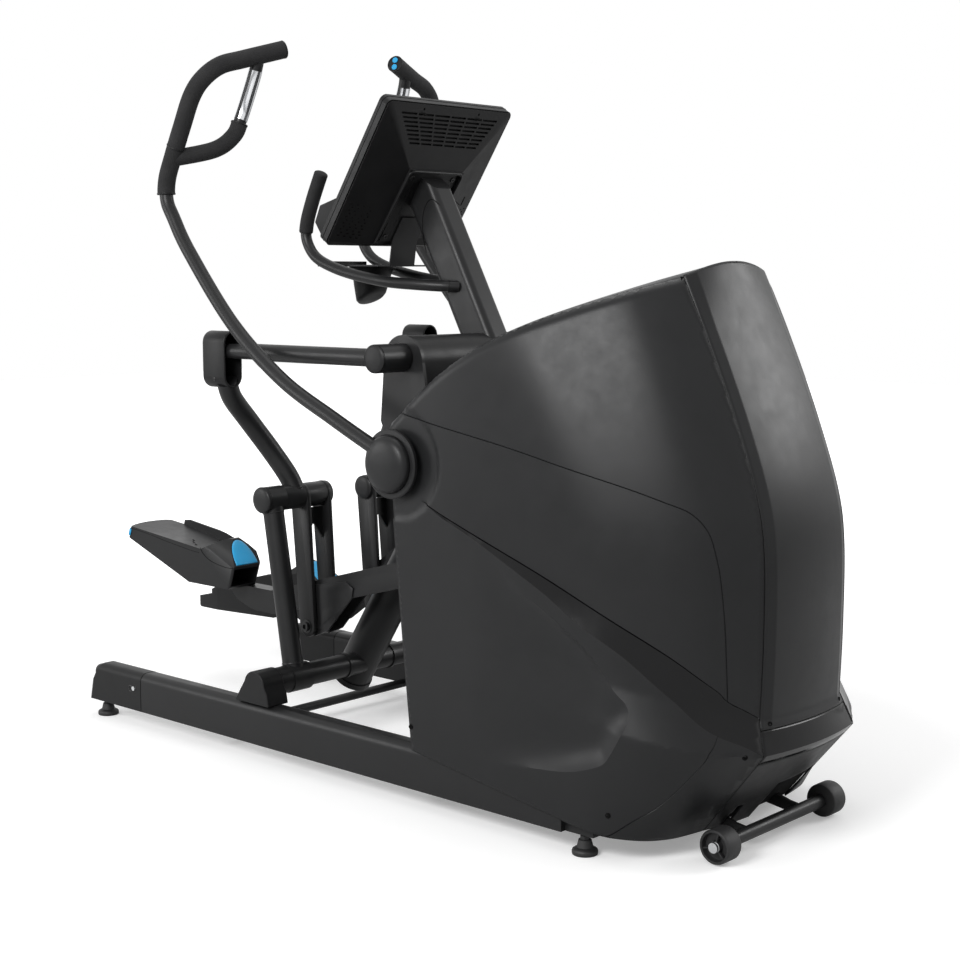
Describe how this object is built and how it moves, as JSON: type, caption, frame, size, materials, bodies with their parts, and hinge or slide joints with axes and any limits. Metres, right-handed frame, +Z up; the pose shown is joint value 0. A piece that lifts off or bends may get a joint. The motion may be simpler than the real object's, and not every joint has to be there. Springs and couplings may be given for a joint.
{
  "type": "elliptical trainer",
  "caption": "Elliptical trainer: closed drive housing, linked foot arms with deep pedals, swinging hand arms and a leaning console.",
  "frame": {"origin": "centre of the bounding box at floor level", "axes": "+X towards the front of the machine (housing and transport wheels), +Y to its left, +Z up"},
  "size_m": [2.1764, 0.8832, 1.7967],
  "materials": {
    "powder_black": "satin powder coat",
    "satin_charcoal": "satin moulded",
    "gloss_black": "polished",
    "screen": "polished",
    "grip_rubber": "matte",
    "blue_trim": "satin",
    "machined_steel": "brushed",
    "cast_flywheel": "machined",
    "bright_sensor": "polished"
  },
  "bodies": {
    "frame": {"base_frame": "powder_black", "rail_end_caps": "satin_charcoal", "pivot_covers": "satin_charcoal", "rear_shaft": "powder_black", "shaft_collars": "grip_rubber", "spine": "powder_black", "inner_frame": "powder_black", "cross_head": "powder_black", "head_cover": "satin_charcoal", "mast": "powder_black", "hand_arm_stubs": "machined_steel", "shroud_right": "satin_charcoal", "shroud_left": "satin_charcoal", "shroud_front": "satin_charcoal", "shroud_skirt": "gloss_black", "console_back": "satin_charcoal", "console_bezel": "gloss_black", "console_screen": "screen", "console_mount": "powder_black", "handlebar": "powder_black", "handlebar_grips": "grip_rubber", "tray": "powder_black", "cup_holder": "gloss_black", "crank_bearings": "machined_steel", "drive_belt": "grip_rubber", "transport_bracket": "powder_black", "fastener_heads": "machined_steel"},
    "crank": {"crank": "machined_steel", "crank_pulley": "machined_steel"},
    "flywheel": {"flywheel": "cast_flywheel"},
    "transport_wheel_right": {"transport_wheel_right": "grip_rubber"},
    "foot_rear_right": {"foot_rear_right": "grip_rubber"},
    "foot_front_right": {"foot_front_right": "grip_rubber"},
    "transport_wheel_left": {"transport_wheel_left": "grip_rubber"},
    "foot_rear_left": {"foot_rear_left": "grip_rubber"},
    "foot_front_left": {"foot_front_left": "grip_rubber"},
    "upright_right": {"upright_right": "powder_black"},
    "coupler_right": {"coupler_right": "powder_black", "capsule_right": "satin_charcoal"},
    "foot_arm_right": {"foot_arm_right": "powder_black", "pedal_right": "satin_charcoal", "pedal_trim_right": "blue_trim"},
    "guide_bar_right": {"guide_bar_right": "powder_black"},
    "hand_arm_right": {"hand_arm_right": "powder_black", "hand_grip_right": "grip_rubber", "pulse_sensors_right": "bright_sensor"},
    "button_up_right": {"button_up_right": "blue_trim"},
    "button_down_right": {"button_down_right": "blue_trim"},
    "upright_left": {"upright_left": "powder_black"},
    "coupler_left": {"coupler_left": "powder_black", "capsule_left": "satin_charcoal"},
    "foot_arm_left": {"foot_arm_left": "powder_black", "pedal_left": "satin_charcoal", "pedal_trim_left": "blue_trim"},
    "guide_bar_left": {"guide_bar_left": "powder_black"},
    "hand_arm_left": {"hand_arm_left": "powder_black", "hand_grip_left": "grip_rubber", "pulse_sensors_left": "bright_sensor"},
    "button_up_left": {"button_up_left": "blue_trim"},
    "button_down_left": {"button_down_left": "blue_trim"}
  },
  "joints": [
    {"name": "crank_spin", "type": "hinge", "parent": "frame", "child": "crank", "pos_m": [0.55078, 0, 0.81425], "axis": [0, 1, 0], "continuous": true},
    {"name": "flywheel_spin", "type": "hinge", "parent": "frame", "child": "flywheel", "pos_m": [0.81578, 0, 0.52925], "axis": [0, 1, 0], "continuous": true},
    {"name": "right_transport_wheel_spin", "type": "hinge", "parent": "frame", "child": "transport_wheel_right", "pos_m": [0.98411, -0.211, 0.04], "axis": [0, 1, 0], "continuous": true},
    {"name": "right_rear_foot_screw", "type": "hinge", "parent": "frame", "child": "foot_rear_right", "pos_m": [-0.96189, -0.354, 0.02], "axis": [0, 0, 1], "continuous": true},
    {"name": "right_front_foot_screw", "type": "hinge", "parent": "frame", "child": "foot_front_right", "pos_m": [0.73811, -0.354, 0.02], "axis": [0, 0, 1], "continuous": true},
    {"name": "left_transport_wheel_spin", "type": "hinge", "parent": "frame", "child": "transport_wheel_left", "pos_m": [0.98411, 0.211, 0.04], "axis": [0, 1, 0], "continuous": true},
    {"name": "left_rear_foot_screw", "type": "hinge", "parent": "frame", "child": "foot_rear_left", "pos_m": [-0.96189, 0.354, 0.02], "axis": [0, 0, 1], "continuous": true},
    {"name": "left_front_foot_screw", "type": "hinge", "parent": "frame", "child": "foot_front_left", "pos_m": [0.73811, 0.354, 0.02], "axis": [0, 0, 1], "continuous": true},
    {"name": "right_rocker_swing", "type": "hinge", "parent": "frame", "child": "upright_right", "pos_m": [-0.29389, -0.253, 0.196], "axis": [0, 1, 0], "range_deg": [-10, 10]},
    {"name": "right_coupler_swing", "type": "hinge", "parent": "upright_right", "child": "coupler_right", "pos_m": [-0.37189, -0.253, 0.648], "axis": [0, 1, 0], "range_deg": [-22.1, 22.1]},
    {"name": "right_foot_arm_swing", "type": "hinge", "parent": "coupler_right", "child": "foot_arm_right", "pos_m": [-0.34689, -0.118, 0.306], "axis": [0, 1, 0], "range_deg": [-12.1, 12.1]},
    {"name": "right_guide_bar_swing", "type": "hinge", "parent": "frame", "child": "guide_bar_right", "pos_m": [0.14811, -0.355, 1.028], "axis": [0, 1, 0], "range_deg": [-0.5, 0.5]},
    {"name": "right_hand_arm_swing", "type": "hinge", "parent": "frame", "child": "hand_arm_right", "pos_m": [0.21811, -0.42, 0.796], "axis": [0, 1, 0], "range_deg": [-8.1, 8.1]},
    {"name": "right_button_up_press", "type": "slide", "parent": "hand_arm_right", "child": "button_up_right", "axis": [-0.2987, -0.9154, -0.2698], "range_m": [0, 0.0012], "stiffness_N_per_m": 500},
    {"name": "right_button_down_press", "type": "slide", "parent": "hand_arm_right", "child": "button_down_right", "axis": [-0.2987, -0.9154, -0.2698], "range_m": [0, 0.0012], "stiffness_N_per_m": 500},
    {"name": "left_rocker_swing", "type": "hinge", "parent": "frame", "child": "upright_left", "pos_m": [-0.29389, 0.253, 0.196], "axis": [0, 1, 0], "range_deg": [-10.1, 10.1]},
    {"name": "left_coupler_swing", "type": "hinge", "parent": "upright_left", "child": "coupler_left", "pos_m": [-0.37189, 0.253, 0.648], "axis": [0, 1, 0], "range_deg": [-22.1, 22.1]},
    {"name": "left_foot_arm_swing", "type": "hinge", "parent": "coupler_left", "child": "foot_arm_left", "pos_m": [-0.34689, 0.118, 0.306], "axis": [0, 1, 0], "range_deg": [-12.1, 12.1]},
    {"name": "left_guide_bar_swing", "type": "hinge", "parent": "frame", "child": "guide_bar_left", "pos_m": [0.14811, 0.355, 1.028], "axis": [0, 1, 0], "range_deg": [-0.5, 0.5]},
    {"name": "left_hand_arm_swing", "type": "hinge", "parent": "frame", "child": "hand_arm_left", "pos_m": [0.21811, 0.42, 0.796], "axis": [0, 1, 0], "range_deg": [-8.1, 8.1]},
    {"name": "left_button_up_press", "type": "slide", "parent": "hand_arm_left", "child": "button_up_left", "axis": [-0.2987, 0.9154, -0.2698], "range_m": [0, 0.0012], "stiffness_N_per_m": 500},
    {"name": "left_button_down_press", "type": "slide", "parent": "hand_arm_left", "child": "button_down_left", "axis": [-0.2987, 0.9154, -0.2698], "range_m": [0, 0.0012], "stiffness_N_per_m": 500}
  ],
  "couplings": [
    {"joint": "flywheel_spin", "follows": "crank_spin", "ratio": 5},
    {"joint": "right_coupler_swing", "follows": "right_rocker_swing", "ratio": -2.2},
    {"joint": "right_foot_arm_swing", "follows": "right_rocker_swing", "ratio": 1.2},
    {"joint": "right_guide_bar_swing", "follows": "right_rocker_swing", "ratio": 0.04},
    {"joint": "right_hand_arm_swing", "follows": "right_rocker_swing", "ratio": -0.8},
    {"joint": "left_coupler_swing", "follows": "right_rocker_swing", "ratio": 2.2},
    {"joint": "left_foot_arm_swing", "follows": "right_rocker_swing", "ratio": -1.2},
    {"joint": "left_guide_bar_swing", "follows": "right_rocker_swing", "ratio": -0.04},
    {"joint": "left_hand_arm_swing", "follows": "right_rocker_swing", "ratio": 0.8},
    {"joint": "left_rocker_swing", "follows": "right_rocker_swing", "ratio": -1}
  ]
}
